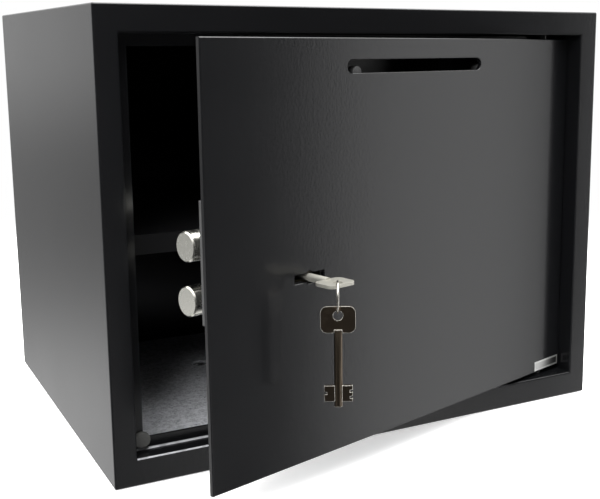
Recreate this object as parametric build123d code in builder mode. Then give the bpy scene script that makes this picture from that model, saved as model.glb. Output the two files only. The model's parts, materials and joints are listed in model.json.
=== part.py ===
from build123d import *
import math
import os

# Key-locked steel deposit safe: a folded cabinet with a slotted, hinged door.
# Millimetres. Origin: centre of the cabinet's underside. +Z is up, the door faces -Y, +X is the hinge side.
# The rest pose has the door ajar and the bolts drawn back, with the key in the lock.

# ---- cabinet ----
width = 380.0
height = 300.0
depth = 300.0
wall = 2.0                 # body sheet
bend = 1.2                 # outside radius of the folds at the front
frame_side = 15.0          # front frame beside the door
frame_top = 17.0
frame_bottom = 18.0
return_depth = 14.0        # door recess, from the frame's face to the stop lip
lip = 8.0                  # stop lip's width
bend_inside = 1.5          # soft inside corner between recess and lip

# ---- door ----
door_sheet = 3.0
door_gap = 3.0             # between the door and the frame
latch_gap = 4.4            # the same at the latch edge, which swings past the frame
door_recess = 8.0          # door's face behind the frame's face
door_edge_round = 0.8      # outer edges of the door's face
hole_edge_bevel = 0.4      # slot and keyhole edges
ajar = 16.3                # degrees that the door stands open at rest

# ---- deposit slot ----
slot_length = 128.5
slot_height = 8.2
slot_centre_x = 2.2
slot_below_top = 17.2      # slot's centre below the door's top edge

# ---- hinge ----
pin_inset = 20.0           # pin axis from the door's hinge edge
pin_behind = 10.0          # pin axis behind the door's face
pin_radius = 4.0
running_gap = 0.05         # radial clearance of a turning or sliding fit
hinge_plate_thickness = 4.0
hinge_plate_length = 32.0
hinge_cutaway = 18.0       # lips stop this far short of the pin axis
lug_thickness = 3.0
lug_radius = 9.0
lug_leg = 20.0
washer_radius = 6.0
seat_gap = 0.1             # between faces that slide on each other

# ---- lock, placed from the key's axis ----
lock_from_edge = 75.8      # key's axis from the door's latch edge
lock_below_slot = 125.2
case_to_left = 40.2
case_to_right = 36.8
case_below = 21.1
case_above = 49.4
tongue_below = 15.8        # base plate's tongue, out to the door's latch edge
tongue_above = 54.6
lock_sheet = 2.0
key_tip_clearance = 2.0    # key's tip to the case's back
keyhole_length = 23.8
keyhole_height = 5.4
keyhole_eye_radius = 4.0
barrel_radius = 12.0
barrel_flange = 1.5        # barrel's flange beyond its body
housing_wall = 2.5
housing_length = 23.0
key_slot_gap = 0.4

# ---- bolt work ----
bolt_radius = 9.0
bolt_inset = 5.2           # bolt's end inside the door's edge when drawn back
bolt_behind = 27.0         # bolt axis behind the door's face
bolt_rises = (-7.1, 24.9)  # bolt axes above the key's axis
bolt_chamfer = 0.8
bolt_throw = 18.0
carriage_sheet = 3.0
carriage_gap = 1.2         # carriage to the barrel housing when drawn back
drive_pin_radius = 2.0
drive_slot_play = 2.2      # lost motion between the crank pin and its slot
stud_radius = 3.0
stud_to_left = 7.2
stud_above = 28.4
strike_length = 80.0
strike_clearance = 0.6     # thrown bolt behind the strike bar

# ---- key ----
key_inside = 31.0          # key behind the door's face
key_shank_radius = 2.5
key_thickness = 2.0
bow_width = 20.6
bow_length = 16.0
bow_start = 14.0           # bow ahead of the door's face
bow_corner = 4.0
bow_hole_radius = 3.0
bow_hole_edge = 5.5        # hole centre inside the bow's end
bit_span = 16.8
bit_length = 9.6
bit_from_tip = 3.2
bit_thickness = 2.4
bit_cut_depth = 1.6
bit_cut_width = 1.6
shank_into_bow = 2.0
ring_radius = 9.0          # to the wire's centre
ring_wire = 0.75
ring_rise = 2.7            # ring's top above the bow's middle plane
ring_turn = 27.6           # ring's plane, degrees from +Y towards +X
ring_hang = 0.3            # spare key's hole to the ring's wire

# ---- chute behind the slot ----
chute_sheet = 1.5
chute_offset = 6.5         # chute's middle from the slot's middle, towards the hinges
chute_margin = 7.75        # chute beyond each end of the slot
chute_lip_drop = 1.2       # chute floor below the slot's lower edge
chute_run = 38.0
chute_fall = 26.0
chute_flange = 18.0
hood_rise = 6.5            # hood above the slot's upper edge
hood_drop = 30.0
pillar_radius = 3.8
pillar_inset = 4.25        # pillar's middle inside the slot's end
pillar_length = 5.0

# ---- inside the cabinet ----
carpet = 2.0
shelf_top = 150.0
shelf_sheet = 1.5
shelf_setback = 60.0       # shelf's front edge behind the frame's face
shelf_flange = 12.0
shelf_gap = 0.8
rail_sheet = 1.5
rail_width = 14.0
rail_height = 14.0
bumper_radius = 5.4
bumper_clearance = 0.3
anchor_radius = 5.0
floor_anchor_x = 120.0     # hole to hole
floor_anchor_y = 120.0
rear_anchor_x = 160.0
rear_anchor_below_shelf = 25.0

# ---- fixings ----
weld_stud_radius = 2.0
nut_radius = 4.0
nut_height = 3.0
screw_radius = 1.5
screw_head_radius = 3.0
screw_head_height = 1.8
screw_gap = 0.1            # radial clearance of a screw or stud in its hole
screw_grip = 7.0
fixing_inset = 9.0
boss_inset = 6.0
label_width = 30.5
label_height = 7.4
label_thickness = 0.3
label_inset = 1.3          # label's edges from the door's hinge edge and bottom edge

# ---- worked out from the sizes above ----
front_y = -depth / 2
back_y = depth / 2
opening_left = -width / 2 + frame_side
opening_right = width / 2 - frame_side
opening_bottom = frame_bottom
opening_top = height - frame_top
opening_width = opening_right - opening_left
opening_height = opening_top - opening_bottom
opening_z = (opening_top + opening_bottom) / 2
lip_y = front_y + return_depth
door_left = opening_left + latch_gap
door_right = opening_right - door_gap
door_bottom = opening_bottom + door_gap
door_top = opening_top - door_gap
door_y = front_y + door_recess
pin_x = door_right - pin_inset
pin_y = door_y + pin_behind
cutaway_x = pin_x - hinge_cutaway
slot_centre_z = door_top - slot_below_top
slot_bottom = slot_centre_z - slot_height / 2
slot_top = slot_centre_z + slot_height / 2
inner_half = width / 2 - wall
lock_x = door_left + lock_from_edge
lock_z = slot_centre_z - lock_below_slot
lock_left = lock_x - case_to_left
lock_right = lock_x + case_to_right
lock_bottom = lock_z - case_below
lock_top = lock_z + case_above
lock_depth = key_inside + key_tip_clearance
bolt_z = [lock_z + rise for rise in bolt_rises]
rear_anchor_height = shelf_top - rear_anchor_below_shelf


def facing(y):
    """Plane across the cabinet at y, seen from the front: local x right, local y up."""
    return Plane(origin=(0, y, 0), x_dir=(1, 0, 0), z_dir=(0, -1, 0))


swing = math.radians(ajar)
door_across = Vector(math.cos(swing), math.sin(swing), 0)
door_outward = Vector(math.sin(swing), -math.cos(swing), 0)
up = Vector(0, 0, 1)
hinge_point = Vector(pin_x, pin_y, 0)
door_origin = hinge_point - door_across * pin_x + door_outward * pin_behind
door_face = Plane(origin=door_origin, x_dir=door_across, z_dir=door_outward)


def behind(distance):
    """Plane parallel to the door, a distance behind its face: local x as on the shut door, local y up."""
    return door_face.offset(-distance)


def across_door(x):
    """Plane square to the door at x: local x is the distance behind its face, local y up."""
    return Plane(origin=door_origin + door_across * x, x_dir=-door_outward, z_dir=door_across)


def level_door(z):
    """Level plane at height z: local x along the door, local y the distance behind its face."""
    return Plane(origin=door_origin + up * z, x_dir=door_across, z_dir=up)


def write(piece, label):
    piece.part.label = label
    export_step(piece.part, f"parts/{label}.step")


os.makedirs("parts", exist_ok=True)

# ======================= cabinet =======================

# Body: one wrapped sheet round all four sides, with anchor holes in the floor
with BuildPart() as outer_shell:
    with BuildSketch(facing(front_y + wall)):
        with Locations((0, height / 2)):
            Rectangle(width, height)
    extrude(amount=-(depth - wall))
    fillet(outer_shell.edges().filter_by(Axis.Y), bend)
    with BuildSketch(facing(front_y + wall)):
        with Locations((0, height / 2)):
            Rectangle(width - 2 * wall, height - 2 * wall)
    extrude(amount=-(depth - wall), mode=Mode.SUBTRACT)
    with BuildSketch(Plane.XY):
        with GridLocations(floor_anchor_x, floor_anchor_y, 2, 2):
            Circle(anchor_radius)
    extrude(amount=wall, mode=Mode.SUBTRACT)
write(outer_shell, "outer_shell")

# Front frame, folded in one with the door recess and the stop lip
with BuildPart() as front_frame:
    with BuildSketch(facing(front_y)):
        with Locations((0, height / 2)):
            Rectangle(width, height)
    extrude(amount=-wall)
    fillet(front_frame.edges().filter_by(Axis.Y), bend)
    with BuildSketch(facing(front_y)):
        with Locations((0, opening_z)):
            Rectangle(opening_width, opening_height)
    extrude(amount=-wall, mode=Mode.SUBTRACT)
    with BuildSketch(facing(front_y + wall)):
        with Locations((0, opening_z)):
            Rectangle(opening_width + 2 * wall, opening_height + 2 * wall)
            Rectangle(opening_width, opening_height, mode=Mode.SUBTRACT)
    extrude(amount=-return_depth)
    with BuildSketch(facing(lip_y)):
        with Locations((0, opening_z)):
            Rectangle(opening_width, opening_height)
        with Locations((lip / 2, opening_z)):
            Rectangle(opening_width - lip, opening_height - 2 * lip, mode=Mode.SUBTRACT)
        with Locations(((cutaway_x + opening_right) / 2, opening_z)):
            Rectangle(opening_right - cutaway_x, opening_height, mode=Mode.SUBTRACT)
    extrude(amount=-wall)
    front_edges = front_frame.edges().filter_by_position(Axis.Y, front_y - 0.01, front_y + 0.01)
    fillet(front_edges, bend)
    corner_lines = (
        front_frame.edges()
        .filter_by_position(Axis.Y, lip_y - 0.01, lip_y + 0.01)
        .filter_by(lambda edge: edge.length > opening_height / 2)
        .filter_by(
            lambda edge: abs(edge.center().X - opening_left) < 0.01
            or abs(edge.center().Z - opening_bottom) < 0.01
            or abs(edge.center().Z - opening_top) < 0.01
        )
    )
    fillet(corner_lines, bend_inside)
    with Locations((pin_x, pin_y, opening_top + wall / 2)):
        Cylinder(pin_radius + 0.5, wall + 1, mode=Mode.SUBTRACT)
    with Locations((pin_x, pin_y, opening_bottom - wall / 2)):
        Cylinder(washer_radius + 0.5, wall + 1, mode=Mode.SUBTRACT)
write(front_frame, "front_frame")

# Rear panel, welded in flush, with wall fixing holes
with BuildPart() as rear_panel:
    with BuildSketch(facing(back_y)):
        with Locations((0, height / 2)):
            Rectangle(width - 2 * wall, height - 2 * wall)
        with Locations((0, rear_anchor_height)):
            with GridLocations(rear_anchor_x, 1, 2, 1):
                Circle(anchor_radius, mode=Mode.SUBTRACT)
    extrude(amount=wall)
write(rear_panel, "rear_panel")

# Hinge plates, welded above and below the recess
plate_left = pin_x - hinge_plate_length / 2
plate_back = pin_y + hinge_plate_length / 2
for label, base_z in (
    ("hinge_plate_lower", opening_bottom - wall - hinge_plate_thickness),
    ("hinge_plate_upper", opening_top + wall),
):
    with BuildPart() as hinge_plate:
        with BuildSketch(Plane.XY.offset(base_z)):
            with Locations(((plate_left + inner_half) / 2, (front_y + wall + plate_back) / 2)):
                Rectangle(inner_half - plate_left, plate_back - front_y - wall)
            with Locations((pin_x, pin_y)):
                Circle(pin_radius + running_gap, mode=Mode.SUBTRACT)
        extrude(amount=hinge_plate_thickness)
    write(hinge_plate, label)

# Thrust washer that carries the door on the lower hinge plate
washer_height = door_gap + wall - seat_gap
with BuildPart() as hinge_washer:
    with BuildSketch(Plane.XY.offset(opening_bottom - wall)):
        with Locations((pin_x, pin_y)):
            Circle(washer_radius)
            Circle(pin_radius + running_gap, mode=Mode.SUBTRACT)
    extrude(amount=washer_height)
write(hinge_washer, "hinge_washer")

# Strike bar behind the latch-side lip: the thrown bolts lie behind it
strike_depth = door_recess + bolt_behind - bolt_radius - strike_clearance - return_depth - wall
strike_z = (bolt_z[0] + bolt_z[1]) / 2
with BuildPart() as strike_bar:
    with BuildSketch(facing(lip_y + wall)):
        with Locations((opening_left + lip / 2, strike_z)):
            Rectangle(lip, strike_length)
    extrude(amount=-strike_depth)
write(strike_bar, "strike_bar")

# Rubber bumper in the recess's lower corner
bumper_height = return_depth - door_recess - door_sheet - bumper_clearance
with BuildPart() as door_bumper:
    with BuildSketch(facing(lip_y)):
        with Locations((opening_left + bumper_radius + bend_inside, opening_bottom + bumper_radius + bend_inside)):
            Circle(bumper_radius)
    extrude(amount=bumper_height)
    fillet(door_bumper.faces().sort_by(Axis.Y)[0].edges(), 0.8)
write(door_bumper, "door_bumper")

# Floor carpet, cut out round the anchor holes
carpet_front = lip_y + wall
with BuildPart() as floor_carpet:
    with BuildSketch(Plane.XY.offset(wall)):
        with Locations((0, (carpet_front + back_y - wall) / 2)):
            Rectangle(2 * inner_half, back_y - wall - carpet_front)
        with GridLocations(floor_anchor_x, floor_anchor_y, 2, 2):
            Circle(anchor_radius + 2, mode=Mode.SUBTRACT)
    extrude(amount=carpet)
write(floor_carpet, "floor_carpet")

# Shelf rails, spot-welded to the side walls
shelf_front = front_y + shelf_setback
shelf_back = back_y - wall
shelf_mid = (shelf_front + shelf_back) / 2
shelf_length = shelf_back - shelf_front
rail_top = shelf_top - shelf_sheet
for label, side in (("shelf_rail_left", -1), ("shelf_rail_right", 1)):
    with BuildPart() as shelf_rail:
        with BuildSketch(facing(shelf_front + 2)):
            with Locations((side * (inner_half - rail_width / 2), rail_top - rail_sheet / 2)):
                Rectangle(rail_width, rail_sheet)
            with Locations((side * (inner_half - rail_sheet / 2), rail_top - rail_height / 2)):
                Rectangle(rail_sheet, rail_height)
        extrude(amount=-(shelf_length - 4))
    write(shelf_rail, label)

# Shelf: a loose tray with turned-down edges that rests on the rails
tray_half = inner_half - rail_width - shelf_gap
with BuildPart() as shelf:
    with BuildSketch(Plane.XY.offset(rail_top)):
        with Locations((0, shelf_mid)):
            Rectangle(2 * (inner_half - shelf_gap), shelf_length)
    extrude(amount=shelf_sheet)
    for edge_y in (shelf_front + shelf_sheet / 2, shelf_back - shelf_sheet / 2):
        with BuildSketch(Plane.XY.offset(rail_top)):
            with Locations((0, edge_y)):
                Rectangle(2 * tray_half, shelf_sheet)
        extrude(amount=-shelf_flange)
write(shelf, "shelf")

# ======================= door =======================

# Door plate with the deposit slot and the keyhole
with BuildPart() as door_plate:
    with BuildSketch(behind(0)):
        with Locations(((door_left + door_right) / 2, (door_bottom + door_top) / 2)):
            Rectangle(door_right - door_left, door_top - door_bottom)
        with Locations((slot_centre_x, slot_centre_z)):
            SlotOverall(slot_length, slot_height, mode=Mode.SUBTRACT)
        with Locations((lock_x, lock_z)):
            Rectangle(keyhole_length, keyhole_height, mode=Mode.SUBTRACT)
            Circle(keyhole_eye_radius, mode=Mode.SUBTRACT)
    extrude(amount=-door_sheet)
    front_face = max(door_plate.faces(), key=lambda face: (face.center() - door_origin).dot(door_outward))
    hole_edges = [edge for wire in front_face.inner_wires() for edge in wire.edges()]
    chamfer(hole_edges, hole_edge_bevel)
    front_face = max(door_plate.faces(), key=lambda face: (face.center() - door_origin).dot(door_outward))
    fillet(front_face.outer_wire().edges(), door_edge_round)
write(door_plate, "door_plate")

# Hinge lugs: angles welded behind the door, each with its pin
lug_back = pin_behind + lug_radius
for label, pin_label, tab_z, leg_z, pin_low, pin_high in (
    (
        "hinge_lug_lower",
        "hinge_pin_lower",
        door_bottom,
        door_bottom,
        opening_bottom - wall - hinge_plate_thickness + 0.5,
        door_bottom,
    ),
    (
        "hinge_lug_upper",
        "hinge_pin_upper",
        door_top - lug_thickness,
        door_top - lug_leg,
        door_top,
        opening_top + wall + hinge_plate_thickness - 0.5,
    ),
):
    with BuildPart() as hinge_lug:
        with BuildSketch(level_door(tab_z)):
            with Locations((pin_x, (door_sheet + pin_behind) / 2)):
                Rectangle(2 * lug_radius, pin_behind - door_sheet)
            with Locations((pin_x, pin_behind)):
                Circle(lug_radius)
            with Locations((pin_x, door_sheet - lug_radius / 2)):
                Rectangle(3 * lug_radius, lug_radius, mode=Mode.SUBTRACT)
        extrude(amount=lug_thickness)
        with BuildSketch(level_door(leg_z)):
            with Locations((pin_x, door_sheet + lug_thickness / 2)):
                Rectangle(2 * lug_radius, lug_thickness)
        extrude(amount=lug_leg)
    write(hinge_lug, label)
    with BuildPart() as hinge_pin:
        with BuildSketch(Plane.XY.offset(pin_low)):
            with Locations((pin_x, pin_y)):
                Circle(pin_radius)
        extrude(amount=pin_high - pin_low)
    write(hinge_pin, pin_label)

# Chute floor: a flange on the back of the door, then a slope that carries letters inwards
chute_centre_x = slot_centre_x + chute_offset
chute_half = slot_length / 2 + chute_margin
chute_top = slot_bottom - chute_lip_drop
with BuildPart() as chute_floor:
    with BuildSketch(across_door(chute_centre_x - chute_half)) as floor_profile:
        with BuildLine():
            Polyline(
                (door_sheet, chute_top - chute_flange),
                (door_sheet, chute_top),
                (door_sheet + chute_sheet, chute_top),
                (door_sheet + chute_run, chute_top - chute_fall),
                (door_sheet + chute_run - chute_sheet, chute_top - chute_fall - chute_sheet),
                (door_sheet + chute_sheet, chute_top - 2 * chute_sheet),
                (door_sheet + chute_sheet, chute_top - chute_flange),
                close=True,
            )
        make_face()
    extrude(amount=2 * chute_half)
write(chute_floor, "chute_floor")

# Hood over the chute with closed cheeks: it stops a hand or a hook from reaching down
hood_top = slot_top + hood_rise
hood_half = chute_half + chute_sheet
hood_back = door_sheet + chute_run + 12.0
hood_bottom = hood_top - hood_drop
cheek_bottom = chute_top - chute_fall - 4.0
with BuildPart() as chute_hood:
    with BuildSketch(behind(door_sheet)):
        with Locations((chute_centre_x, hood_top - chute_sheet / 2)):
            Rectangle(2 * hood_half, chute_sheet)
    extrude(amount=-(hood_back - door_sheet))
    with BuildSketch(behind(hood_back)):
        with Locations((chute_centre_x, (hood_top + hood_bottom) / 2)):
            Rectangle(2 * hood_half, hood_top - hood_bottom)
    extrude(amount=chute_sheet)
    for side in (-1, 1):
        cheek_x = chute_centre_x + side * (chute_half + chute_sheet / 2)
        with BuildSketch(behind(door_sheet)):
            with Locations((cheek_x, (hood_top + cheek_bottom) / 2)):
                Rectangle(chute_sheet, hood_top - cheek_bottom)
        extrude(amount=-(hood_back - door_sheet))
write(chute_hood, "chute_hood")

# Clinched pillars at the slot's lower corners, which steady the chute
pillar_half_spacing = slot_length / 2 - pillar_inset
with BuildPart() as chute_pillars:
    with BuildSketch(behind(door_sheet)):
        for side in (-1, 1):
            with Locations((chute_centre_x + side * pillar_half_spacing, slot_bottom + 0.4)):
                Circle(pillar_radius)
    extrude(amount=-pillar_length)
    with BuildSketch(across_door(chute_centre_x - chute_half)):
        with BuildLine():
            Polyline(
                (door_sheet, chute_top - chute_flange),
                (door_sheet, chute_top),
                (door_sheet + chute_sheet, chute_top),
                (door_sheet + chute_run, chute_top - chute_fall),
                (door_sheet + chute_run, chute_top - chute_fall - chute_flange),
                close=True,
            )
        make_face()
    extrude(amount=2 * chute_half, mode=Mode.SUBTRACT)
write(chute_pillars, "chute_pillars")

# Lock case: base plate with a tongue that runs out to the door's edge, and folded walls
case_mid_x = (lock_left + lock_right) / 2
case_mid_z = (lock_top + lock_bottom) / 2
case_width = lock_right - lock_left
case_height = lock_top - lock_bottom
base_back = door_sheet + lock_sheet
case_back = base_back + lock_depth
tongue_bottom = lock_z - tongue_below
tongue_top = lock_z + tongue_above
lock_fixings = [
    (door_left + fixing_inset, tongue_bottom + fixing_inset),
    (door_left + fixing_inset, tongue_top - fixing_inset),
    (lock_right - 2 * fixing_inset, lock_bottom + fixing_inset),
    (lock_right - 2 * fixing_inset, lock_top - fixing_inset),
]
with BuildPart() as lock_case:
    with BuildSketch(behind(door_sheet)):
        with Locations((case_mid_x, case_mid_z)):
            Rectangle(case_width, case_height)
        with Locations(((door_left + lock_x) / 2, (tongue_bottom + tongue_top) / 2)):
            Rectangle(lock_x - door_left, tongue_top - tongue_bottom)
        with Locations((lock_x, lock_z)):
            Rectangle(keyhole_length, keyhole_height, mode=Mode.SUBTRACT)
            Circle(keyhole_eye_radius, mode=Mode.SUBTRACT)
        with Locations(*lock_fixings):
            Circle(weld_stud_radius + 0.2, mode=Mode.SUBTRACT)
    extrude(amount=-lock_sheet)
    with BuildSketch(behind(base_back)):
        with Locations((case_mid_x, case_mid_z)):
            Rectangle(case_width, case_height)
            Rectangle(case_width - 2 * lock_sheet, case_height - 2 * lock_sheet, mode=Mode.SUBTRACT)
    extrude(amount=-lock_depth)
    with BuildSketch(across_door(lock_left)):
        for z in bolt_z:
            with Locations((bolt_behind, z)):
                Circle(bolt_radius + running_gap)
    extrude(amount=lock_sheet, mode=Mode.SUBTRACT)
write(lock_case, "lock_case")

# Weld studs on the door and the nuts that hold the lock case
with BuildPart() as lock_studs:
    with BuildSketch(behind(door_sheet)):
        with Locations(*lock_fixings):
            Circle(weld_stud_radius)
    extrude(amount=-(lock_sheet + nut_height + 1))
write(lock_studs, "lock_studs")

with BuildPart() as lock_nuts:
    with BuildSketch(behind(base_back)):
        with Locations(*lock_fixings):
            RegularPolygon(nut_radius, 6)
            Circle(weld_stud_radius + screw_gap, mode=Mode.SUBTRACT)
    extrude(amount=-nut_height)
write(lock_nuts, "lock_nuts")

# Rear cover of the lock case and its screws
cover_screws = [
    (lock_left + boss_inset, lock_top - boss_inset),
    (lock_right - boss_inset, lock_top - boss_inset),
    (lock_right - boss_inset, lock_bottom + boss_inset),
]
with BuildPart() as lock_cover:
    with BuildSketch(behind(case_back)):
        with Locations((case_mid_x, case_mid_z)):
            Rectangle(case_width, case_height)
        with Locations(*cover_screws):
            Circle(screw_radius + screw_gap, mode=Mode.SUBTRACT)
    extrude(amount=-lock_sheet)
write(lock_cover, "lock_cover")

cover_back = case_back + lock_sheet
with BuildPart() as cover_bosses:
    with BuildSketch(behind(base_back)):
        with Locations(*cover_screws):
            Circle(screw_head_radius)
    extrude(amount=-lock_depth)
    with BuildSketch(behind(case_back)):
        with Locations(*cover_screws):
            Circle(screw_radius + screw_gap)
    extrude(amount=screw_grip + 1, mode=Mode.SUBTRACT)
write(cover_bosses, "cover_bosses")

with BuildPart() as cover_screw_set:
    with BuildSketch(behind(cover_back)):
        with Locations(*cover_screws):
            Circle(screw_radius)
    extrude(amount=lock_sheet + screw_grip)
    with BuildSketch(behind(cover_back)):
        with Locations(*cover_screws):
            Circle(screw_head_radius)
    extrude(amount=-screw_head_height)
write(cover_screw_set, "cover_screws")

# Housing that the barrel turns in
housing_radius = barrel_radius + housing_wall
housing_back = base_back + housing_length
with BuildPart() as barrel_housing:
    with BuildSketch(behind(base_back)):
        with Locations((lock_x, lock_z)):
            Circle(housing_radius)
            Circle(barrel_radius + running_gap, mode=Mode.SUBTRACT)
    extrude(amount=-housing_length)
write(barrel_housing, "barrel_housing")

# Shoulder stud that guides the carriage
with BuildPart() as carriage_stud:
    with BuildSketch(behind(base_back)):
        with Locations((lock_x - stud_to_left, lock_z + stud_above)):
            Circle(stud_radius)
    extrude(amount=-lock_depth)
write(carriage_stud, "carriage_stud")

# Blank rating label
with BuildPart() as blank_label:
    with BuildSketch(behind(-label_thickness)):
        with Locations((door_right - label_inset - label_width / 2, door_bottom + label_inset + label_height / 2)):
            Rectangle(label_width, label_height)
    extrude(amount=-label_thickness)
write(blank_label, "blank_label")

# ======================= lock barrel =======================

barrel_front = base_back + 0.3
flange_front = housing_back + 0.2
carriage_front = case_back - 1.5 - carriage_sheet
flange_back = carriage_front - 0.4
crank = bolt_throw / 2
with BuildPart() as lock_barrel:
    with BuildSketch(behind(barrel_front)):
        with Locations((lock_x, lock_z)):
            Circle(barrel_radius)
    extrude(amount=-(flange_front - barrel_front))
    with BuildSketch(behind(flange_front)):
        with Locations((lock_x, lock_z)):
            Circle(barrel_radius + barrel_flange)
    extrude(amount=-(flange_back - flange_front))
    with BuildSketch(behind(barrel_front)):
        with Locations((lock_x, lock_z)):
            Rectangle(bit_span + 2 * key_slot_gap, bit_thickness + 2 * key_slot_gap)
            Circle(key_shank_radius + key_slot_gap)
    extrude(amount=-(key_inside + 0.8 - barrel_front), mode=Mode.SUBTRACT)
    with BuildSketch(behind(flange_back)):
        with Locations((lock_x + crank, lock_z)):
            Circle(drive_pin_radius)
    extrude(amount=-(carriage_sheet + 1.2))
write(lock_barrel, "lock_barrel")

# ======================= bolt work =======================

# Carriage: an upstand that holds both bolts and a flat with the crank slot and the guide slot
upstand_right = lock_x - housing_radius - carriage_gap
upstand_left = upstand_right - carriage_sheet
carriage_bottom = bolt_z[0] - bolt_radius - 1.0
carriage_top = bolt_z[1] + bolt_radius + 1.0
carriage_right = lock_x + crank + drive_pin_radius + drive_slot_play + 5.0
carriage_back = carriage_front + carriage_sheet
drive_slot_half = drive_pin_radius + drive_slot_play
with BuildPart() as bolt_carriage:
    with BuildSketch(behind(carriage_front)):
        with Locations(((upstand_left + carriage_right) / 2, (carriage_bottom + carriage_top) / 2)):
            Rectangle(carriage_right - upstand_left, carriage_top - carriage_bottom)
        with Locations((lock_x + crank, lock_z + crank / 2)):
            Rectangle(2 * drive_slot_half, crank + 2 * drive_pin_radius + 1.2, mode=Mode.SUBTRACT)
        with Locations((lock_x - stud_to_left + bolt_throw / 2, lock_z + stud_above)):
            SlotOverall(bolt_throw + 2 * stud_radius + 0.8, 2 * stud_radius + 0.2, mode=Mode.SUBTRACT)
    extrude(amount=-carriage_sheet)
    with BuildSketch(across_door(upstand_left)):
        with Locations(((bolt_behind - bolt_radius + carriage_back) / 2, (carriage_bottom + carriage_top) / 2)):
            Rectangle(carriage_back - bolt_behind + bolt_radius, carriage_top - carriage_bottom)
    extrude(amount=carriage_sheet)
write(bolt_carriage, "bolt_carriage")

# Locking bolts, chamfered at the free end
bolt_end = door_left + bolt_inset
for label, z in (("locking_bolt_lower", bolt_z[0]), ("locking_bolt_upper", bolt_z[1])):
    with BuildPart() as locking_bolt:
        with BuildSketch(across_door(bolt_end)):
            with Locations((bolt_behind, z)):
                Circle(bolt_radius)
        extrude(amount=upstand_left - bolt_end)
        tip = min(locking_bolt.faces(), key=lambda face: (face.center() - door_origin).dot(door_across))
        chamfer(tip.edges(), bolt_chamfer)
    write(locking_bolt, label)

# ======================= keys =======================

# Both keys are cut alike. One lies in the lock with its flat level; the other hangs from the ring.
key_axis = door_origin + door_across * lock_x + up * lock_z
bow_centre = bow_start + bow_length / 2
bow_hole_centre = bow_start + bow_length - bow_hole_edge
ring_across = Vector(math.sin(math.radians(ring_turn)), math.cos(math.radians(ring_turn)), 0)
ring_side = Vector(math.cos(math.radians(ring_turn)), -math.sin(math.radians(ring_turn)), 0)
ring_drop = ring_radius - ring_rise
ring_half_chord = math.sqrt(ring_radius**2 - ring_drop**2)
ring_centre = key_axis + door_outward * bow_hole_centre - ring_across * ring_half_chord - up * ring_drop
spare_drop = ring_radius + bow_hole_radius - ring_wire - ring_hang + bow_hole_centre
spare_axis = ring_centre - up * spare_drop
bit_middle = bit_from_tip + bit_length / 2 - key_inside
for label, origin, key_side, key_flat, key_along in (
    ("door_key", key_axis, door_across * -1, up, door_outward),
    ("spare_key", spare_axis, ring_side, ring_across * -1, up),
):
    with BuildPart() as key:
        with BuildSketch(Plane(origin=origin - key_flat * key_thickness / 2, x_dir=key_side, z_dir=key_flat)):
            with Locations((0, bow_centre)):
                RectangleRounded(bow_width, bow_length, bow_corner)
            with Locations((0, bow_hole_centre)):
                Circle(bow_hole_radius, mode=Mode.SUBTRACT)
        extrude(amount=key_thickness)
        with BuildSketch(Plane(origin=origin - key_along * key_inside, x_dir=key_side, z_dir=key_along)):
            Circle(key_shank_radius)
        extrude(amount=key_inside + bow_start + shank_into_bow)
        with BuildSketch(Plane(origin=origin - key_flat * bit_thickness / 2, x_dir=key_side, z_dir=key_flat)):
            with Locations((0, bit_middle)):
                Rectangle(bit_span, bit_length)
            for side, cut_places in ((1, (-2.4, 1.4)), (-1, (0.2,))):
                for cut_place in cut_places:
                    with Locations((side * bit_span / 2, bit_middle + cut_place)):
                        Rectangle(2 * bit_cut_depth, bit_cut_width, mode=Mode.SUBTRACT)
        extrude(amount=bit_thickness)
    write(key, label)

# Split ring through both bows
with BuildPart() as key_ring:
    with Locations(Plane(origin=ring_centre, x_dir=ring_across, z_dir=ring_side)):
        Torus(ring_radius, ring_wire)
write(key_ring, "key_ring")
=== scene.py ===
import json
import math

import bmesh
import bpy
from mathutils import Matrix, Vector


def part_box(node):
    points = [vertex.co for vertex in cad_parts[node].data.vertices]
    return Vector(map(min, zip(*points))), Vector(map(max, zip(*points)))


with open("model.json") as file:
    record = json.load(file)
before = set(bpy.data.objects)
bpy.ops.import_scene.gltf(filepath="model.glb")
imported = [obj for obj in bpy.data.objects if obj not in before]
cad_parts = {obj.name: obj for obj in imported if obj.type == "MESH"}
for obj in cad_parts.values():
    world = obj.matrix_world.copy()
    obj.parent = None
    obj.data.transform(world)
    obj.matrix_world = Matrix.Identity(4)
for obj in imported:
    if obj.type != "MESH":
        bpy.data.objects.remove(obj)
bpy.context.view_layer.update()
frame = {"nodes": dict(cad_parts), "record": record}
nodes = frame["nodes"]

MM = 0.001
FRAME_BLACK = (0.0040, 0.0041, 0.0046)
FRAME_SIDE = 15 * MM       # frame's side bars
SILL_HEIGHT = 18 * MM      # frame's bottom bar
LIP_DEPTH = 14 * MM        # frame face to stop lip
COAT_GLOSS = 0.21          # roughness of the outside powder coat
COAT_TEXTURE = 0.6


# ---------------------------------------------------------------- shader maths

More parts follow.
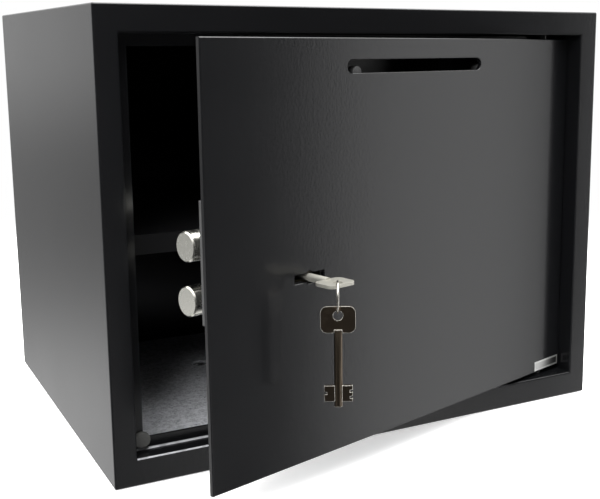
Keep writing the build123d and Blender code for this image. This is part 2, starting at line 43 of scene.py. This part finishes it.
class Shade:
    """A socket of a material's nodes. Sums, products and the like add their Math nodes."""

    def __init__(self, tree, socket=None):
        self.tree = tree
        self.socket = socket

    def make(self, kind, settings=None, inputs=None, output=0):
        """Adds a node of any kind: its settings first, then the values or links of its sockets."""
        node = self.tree.nodes.new(kind)
        for name, value in (settings or {}).items():
            setattr(node, name, value)
        for name, value in (inputs or {}).items():
            if isinstance(value, Shade):
                self.tree.links.new(value.socket, node.inputs[name])
            else:
                node.inputs[name].default_value = value
        return Shade(self.tree, node.outputs[output])

    def maths(self, operation, *terms):
        return self.make("ShaderNodeMath", {"operation": operation}, dict(enumerate(terms)))

    def __add__(self, other):
        return self.maths("ADD", self, other)

    __radd__ = __add__

    def __mul__(self, other):
        return self.maths("MULTIPLY", self, other)

    __rmul__ = __mul__

    def __sub__(self, other):
        return self.maths("SUBTRACT", self, other)

    def __rsub__(self, other):
        return self.maths("SUBTRACT", other, self)

    def __gt__(self, other):
        return self.maths("GREATER_THAN", self, other)

    def __lt__(self, other):
        return self.maths("LESS_THAN", self, other)

    def axis(self, number):
        """One coordinate of a place or direction: 0 is x, 1 is y and 2 is z."""
        return self.make("ShaderNodeSeparateXYZ", inputs={0: self}, output=number)

    def smooth(self, low, high, start=0.0, end=1.0):
        """Eases from start to end as this value goes from low to high."""
        return self.make(
            "ShaderNodeMapRange",
            {"interpolation_type": "SMOOTHSTEP"},
            {"Value": self, "From Min": low, "From Max": high, "To Min": start, "To Max": end},
        )


def object_place(tree, scale=(1, 1, 1)):
    """Object coordinates, stretched."""
    start = Shade(tree)
    place = start.make("ShaderNodeTexCoord", output=3)
    return start.make("ShaderNodeMapping", inputs={"Vector": place, "Scale": scale})


def noise(place, size, detail=3.0, rough=0.5):
    """Cloudy noise between 0 and 1 whose features are about size metres across."""
    return place.make(
        "ShaderNodeTexNoise",
        inputs={"Vector": place, "Scale": 1 / size, "Detail": detail, "Roughness": rough},
    )


def blend_colour(factor, first, second):
    """The first colour where factor is 0 and the second where it is 1."""
    first, second = (c if isinstance(c, Shade) else (*c, 1) for c in (first, second))
    return factor.make("ShaderNodeMix", {"data_type": "RGBA"}, {0: factor, 6: first, 7: second}, output=2)


def finish(name, build):
    """A new material whose surface the build function describes: it returns the shader's inputs."""
    material = bpy.data.materials.new(name)
    material.use_nodes = True
    tree = material.node_tree
    shader = tree.nodes["Principled BSDF"]
    for socket, value in build(tree).items():
        if isinstance(value, Shade):
            tree.links.new(value.socket, shader.inputs[socket])
        else:
            shader.inputs[socket].default_value = value
    return material


def bump(height, strength, distance):
    """The normal of a surface raised by height, distance metres at most."""
    sockets = {"Height": height, "Strength": strength, "Distance": distance}
    return height.make("ShaderNodeBump", inputs=sockets)


# ---------------------------------------------------------------- finishes

def powder_coat(tone, roughness, texture):
    """Satin black powder coat: a fine leathery skin with faint handling marks."""

    def build(tree):
        place = object_place(tree)
        peel = noise(object_place(tree, (1, 1, 0.6)), 1.3 * MM, detail=3.0, rough=0.6)
        cloud = noise(place, 70 * MM, detail=3.0)
        rubbed = noise(object_place(tree, (1, 1, 6)), 9 * MM, detail=5.0, rough=0.65).smooth(0.62, 0.76)
        dark = tuple(0.85 * c for c in tone)
        light = tuple(1.2 * c for c in tone)
        return {
            "Base Color": blend_colour(cloud, dark, light),
            "Roughness": roughness + 0.04 * (cloud - 0.5) + 0.03 * rubbed + 0.08 * (peel - 0.5),
            "Normal": bump(peel, texture, 0.12 * MM),
        }

    return build


def frame_coat_with_painted_highlights(tree):
    """The frame's powder coat, with painted highlights along the two bottom edges of the door's recess:
    pale lines that stand in for light caught by the front fold and the lip's inner bend, broken up by
    noise and fading out in the door's shade.
    """
    coat = powder_coat(FRAME_BLACK, COAT_GLOSS, COAT_TEXTURE)(tree)
    place = object_place(tree)
    across, depth, height = (place.axis(number) for number in range(3))
    low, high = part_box("front_frame")
    front = low[1]
    lip = front + LIP_DEPTH
    sill = low[2] + SILL_HEIGHT
    highlight_breakup = noise(place, 5 * MM, detail=3.0).smooth(0.25, 0.55, 0.55, 1.0)
    front_edge = depth.smooth(front + 1.1 * MM, front + 0.5 * MM)
    inner_corner = depth.smooth(lip - 1.4 * MM, lip - 0.7 * MM)
    above = height.smooth(sill - 1.1 * MM, sill - 0.6 * MM)
    below = height.smooth(sill + 1.3 * MM, sill + 0.8 * MM)
    between = (across > low[0] + FRAME_SIDE) * (high[0] - FRAME_SIDE > across)
    highlight_fades_in_door_shade = across.smooth(60 * MM, 120 * MM, 1.0, 0.0)
    # Painted highlights: two pale lines on the sill's folds where they catch light, fading where the door
    # shades them.
    painted_highlight_lines = above * below * between * (front_edge + inner_corner) * highlight_breakup * highlight_fades_in_door_shade
    coat["Base Color"] = blend_colour(painted_highlight_lines, coat["Base Color"], (0.42, 0.42, 0.44))
    return coat


def plated(tone, roughness, shade=0.72, metal=1.0):
    """Bright plated steel with fine rubbing lines and a little tarnish."""

    def build(tree):
        place = object_place(tree)
        lines = noise(object_place(tree, (1, 0.15, 1)), 0.5 * MM, detail=4.0)
        dull = noise(place, 3 * MM, detail=4.0, rough=0.6).smooth(0.42, 0.75)
        dark = tuple(shade * c for c in tone)
        return {
            "Base Color": blend_colour(dull, tone, dark),
            "Metallic": metal,
            "Roughness": roughness + 0.14 * dull + 0.10 * (lines - 0.5),
            "Normal": bump(lines, 0.04, 0.02 * MM),
        }

    return build


def felt(tree):
    """Needled grey felt with pale and dark fibres."""
    place = object_place(tree)
    fibres = noise(object_place(tree, (1, 0.55, 1)), 1.1 * MM, detail=5.0, rough=0.8)
    cross = noise(object_place(tree, (0.55, 1, 1)), 1.4 * MM, detail=5.0, rough=0.8)
    clumps = noise(place, 5 * MM, detail=4.0, rough=0.6)
    flecks = noise(place, 2.2 * MM, detail=1.0).smooth(0.70, 0.76)
    tuft = 0.5 * fibres + 0.5 * cross
    base = blend_colour(tuft.smooth(0.36, 0.64), (0.20, 0.205, 0.22), (0.62, 0.63, 0.66))
    worn = blend_colour(0.5 * clumps.smooth(0.4, 0.65), base, (0.70, 0.71, 0.74))
    return {
        "Base Color": blend_colour(0.8 * flecks, worn, (0.03, 0.03, 0.035)),
        "Roughness": 0.95,
        "Specular IOR Level": 0.2,
        "Normal": bump(tuft + 0.6 * clumps, 0.7, 0.9 * MM),
    }


def rubber(tree):
    """Grey moulded rubber with a dusty skin."""
    place = object_place(tree)
    dust = noise(place, 1.5 * MM, detail=4.0)
    return {
        "Base Color": blend_colour(dust, (0.030, 0.030, 0.028), (0.06, 0.06, 0.057)),
        "Roughness": 0.5 + 0.2 * dust,
        "Normal": bump(dust, 0.2, 0.1 * MM),
    }


def foil(tree):
    """Brushed silver foil of the blank label; inside its border the foil is darker and carries a painted
    reflection, pale grey at the left fading to near black at the right.
    """
    place = object_place(tree)
    brushed = noise(object_place(tree, (0.05, 0.05, 1)), 0.25 * MM, detail=4.0)
    across, height = place.axis(0), place.axis(2)
    low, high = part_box("blank_label")
    border = 1.3 * MM
    inside = (
        (across > low[0] + border) * (high[0] - border > across)
        * (height > low[2] + border) * (high[2] - border > height)
    )
    # Painted reflection: the inside of the label goes from pale at the left to near black at the right.
    painted_sheen_fade = across.smooth(low[0] + 2 * border, high[0] - border)
    bare = blend_colour(brushed, (0.72, 0.72, 0.70), (0.52, 0.52, 0.51))
    inner_foil_with_painted_sheen = blend_colour(painted_sheen_fade, (0.50, 0.50, 0.49), (0.045, 0.045, 0.045))
    return {
        "Base Color": blend_colour(inside, bare, inner_foil_with_painted_sheen),
        "Metallic": 0.85,
        "Roughness": 0.34 + 0.15 * brushed,
        "Normal": bump(brushed, 0.1, 0.02 * MM),
    }


def lock_steel_painted_shade(tree):
    """Dull steel of the lock's case, base plate and fixings, its grey darkened as painted shade for the
    shade inside the door.
    """
    place = object_place(tree)
    cloud = noise(place, 5 * MM, detail=4.0)
    grain = noise(place, 0.4 * MM, detail=2.0)
    return {
        # Painted shade: these near-black greys stand in for the shade inside the door.
        "Base Color": blend_colour(cloud, (0.045, 0.045, 0.046), (0.085, 0.085, 0.085)),
        "Metallic": 0.35,
        "Roughness": 0.42 + 0.1 * grain,
        "Normal": bump(grain, 0.12, 0.03 * MM),
    }


def dark_brass_painted_shade(tree):
    """Turned lock brass, coloured very dark as painted shade for the shade inside the keyhole."""
    place = object_place(tree)
    turning = noise(place, 0.5 * MM, detail=3.0)
    cloud = noise(place, 3 * MM, detail=3.0)
    return {
        # Painted shade: near-black brass that stands in for the shade inside the keyhole.
        "Base Color": blend_colour(cloud, (0.030, 0.026, 0.018), (0.075, 0.062, 0.040)),
        "Metallic": 1.0,
        "Roughness": 0.34 + 0.15 * turning,
        "Normal": bump(turning, 0.1, 0.03 * MM),
    }


finishes = {
    "black_powder": finish("black_powder_coat", powder_coat(FRAME_BLACK, COAT_GLOSS, COAT_TEXTURE)),
    "black_inside": finish("black_inside_paint", powder_coat((0.0075, 0.0075, 0.0082), 0.36, 0.2)),
    "zinc_steel": finish("lock_steel_painted_shade", lock_steel_painted_shade),
    "nickel_bolt": finish("bolt_nickel", plated((0.84, 0.83, 0.76), 0.20, 0.95)),
    "nickel_key": finish("key_nickel", plated((0.80, 0.77, 0.70), 0.24)),
    "grey_felt": finish("grey_felt", felt),
    "rubber_pad": finish("rubber_pad", rubber),
    "silver_label": finish("silver_label", foil),
    "barrel_brass": finish("lock_brass_painted_shade", dark_brass_painted_shade),
}

slot_of = {part["node"]: part["material_slot"] for part in frame["record"]["subparts"]}
for name, node in nodes.items():
    node.data.materials.clear()
    node.data.materials.append(finishes[slot_of[name]])


# ---------------------------------------------------------------- edges of the metal

WELD_REACH = 0.002 * MM
FLAT_ENOUGH = math.radians(1)


def soften(name, width, angle, edge_finish=None):
    """Rounds the edges of a CAD piece a little; worn edges may have a finish of their own."""
    node = nodes[name]
    weld = node.modifiers.new("weld", "WELD")
    weld.merge_threshold = WELD_REACH
    flat = node.modifiers.new("flat", "DECIMATE")
    flat.decimate_type = "DISSOLVE"
    flat.angle_limit = FLAT_ENOUGH
    edge = node.modifiers.new("edge", "BEVEL")
    edge.width = width
    edge.segments = 2
    edge.limit_method = "ANGLE"
    edge.angle_limit = math.radians(angle)
    edge.profile = 0.5
    if edge_finish:
        node.data.materials.append(edge_finish)
        edge.material = 1


# Both keys are worn bright along their edges. The spare's faces carry painted shade: a dark copy of the
# same nickel that stands in for the dark surroundings they reflect.
worn_edge = finish("worn_key_edge", plated((0.90, 0.87, 0.79), 0.38, 0.95, 0.7))
spare_key_painted_shade = finish("nickel_painted_dark_reflection", plated((0.17, 0.135, 0.10), 0.34, 0.85))
satin = finish("satin_nickel", plated((0.46, 0.45, 0.40), 0.44, 0.93, 0.75))
# The front frame's coat carries painted highlights on the sill's two folds.
nodes["front_frame"].data.materials[0] = finish("frame_coat_painted_highlights", frame_coat_with_painted_highlights)
nodes["spare_key"].data.materials[0] = spare_key_painted_shade
nodes["door_key"].data.materials[0] = satin
soften("spare_key", 0.6 * MM, 40, worn_edge)
soften("door_key", 0.35 * MM, 40, worn_edge)
soften("front_frame", 0.7 * MM, 60)


# ---------------------------------------------------------------- floor, light and camera

def floor_finish(tree):
    """Matt white floor that fades into the white backdrop."""
    place = object_place(tree)
    cloud = noise(place, 0.5, detail=2.0)
    distance = place.make("ShaderNodeVectorMath", {"operation": "LENGTH"}, {0: place}, output=1)
    return {
        "Base Color": blend_colour(cloud, (0.88, 0.88, 0.88), (0.91, 0.91, 0.91)),
        "Roughness": 0.8,
        "Specular IOR Level": 0.1,
        "Emission Color": (1.0, 1.0, 1.0, 1.0),
        "Emission Strength": 0.5,
        "Alpha": distance.smooth(0.50, 0.95, 1.0, 0.0),
    }


floor_gap = 0.5 * MM       # keeps the floor from flickering through the underside
floor_mesh = bmesh.new()
bmesh.ops.create_grid(floor_mesh, x_segments=1, y_segments=1, size=1.0)
bmesh.ops.translate(floor_mesh, verts=floor_mesh.verts, vec=(0, 0, -floor_gap))
floor_data = bpy.data.meshes.new("floor")
floor_mesh.to_mesh(floor_data)
floor_mesh.free()
floor = bpy.data.objects.new("floor", floor_data)
bpy.context.scene.collection.objects.link(floor)
floor.data.materials.append(finish("pale_floor", floor_finish))
floor.visible_glossy = False

# The room that the box reflects is light behind it, dim in front and bright overhead, with a
# duller band at the horizon. The backdrop itself is plain white all round.
world = bpy.data.worlds.new("studio")
world.use_nodes = True
bpy.context.scene.world = world
studio = world.node_tree
direction = object_place(studio)
right, ahead, up = (direction.axis(number) for number in range(3))
horizon = up.smooth(0.0, -0.12) * up.smooth(-0.32, -0.16)
floor_level = up.smooth(-0.22, -0.35)
wall = 0.56 - 0.30 * horizon + 0.30 * floor_level + 0.55 * up.smooth(0.06, 0.3)
back = ahead.smooth(-0.25, 0.35) * wall
front = ahead.smooth(0.0, -0.3) * right.smooth(0.72, 0.5) * right.smooth(0.15, 0.45) * floor_level * 1.1
ceiling = up.smooth(0.25, 0.9) * 2.6
room = back + front + 0.06 + ceiling
backdrop = direction.make("ShaderNodeLightPath", output=0)
strength = backdrop + (1 - backdrop) * room
background = studio.nodes["Background"]
background.inputs["Color"].default_value = (1.0, 1.0, 1.0, 1.0)
studio.links.new(strength.socket, background.inputs["Strength"])


def soft_box(name, place, aim, width, height, radiance):
    """A soft rectangular lamp that shines from place towards aim and doesn't show itself."""
    lamp = bpy.data.lights.new(name, "AREA")
    lamp.shape = "RECTANGLE"
    lamp.size = width
    lamp.size_y = height
    lamp.energy = radiance * math.pi * width * height
    box = bpy.data.objects.new(name, lamp)
    bpy.context.scene.collection.objects.link(box)
    box.location = place
    box.rotation_euler = (Vector(aim) - Vector(place)).to_track_quat("-Z", "Y").to_euler()
    box.visible_camera = False
    return box


soft_box("right_lamp", (0.62, -0.46, 0.08), (0.0, -0.46, 0.08), 0.32, 0.96, 1.5)
soft_box("side_lamp", (0.64, -0.08, 0.08), (0.0, -0.08, 0.08), 0.40, 0.96, 0.40)
soft_box("top_lamp", (0.15, -0.25, 1.6), (0.0, -0.1, 0.0), 1.5, 1.1, 6.5)
fill = soft_box("inside_fill", (-0.75, -0.95, 1.05), (-0.10, 0.02, 0.03), 0.5, 0.5, 20.0)
fill.visible_glossy = False

camera_data = bpy.data.cameras.new("camera")
camera = bpy.data.objects.new("camera", camera_data)
bpy.context.scene.collection.objects.link(camera)
camera.location = (-0.337187, -0.748319, 0.275499)
camera.rotation_euler = (math.radians(90 - 10.18), 0, math.radians(-29.47))
camera_data.sensor_width = 36.0
camera_data.lens = 60.459
camera_data.shift_x = -0.13333
camera_data.shift_y = -0.03887
bpy.context.scene.camera = camera
bpy.context.scene.view_settings.view_transform = "Standard"
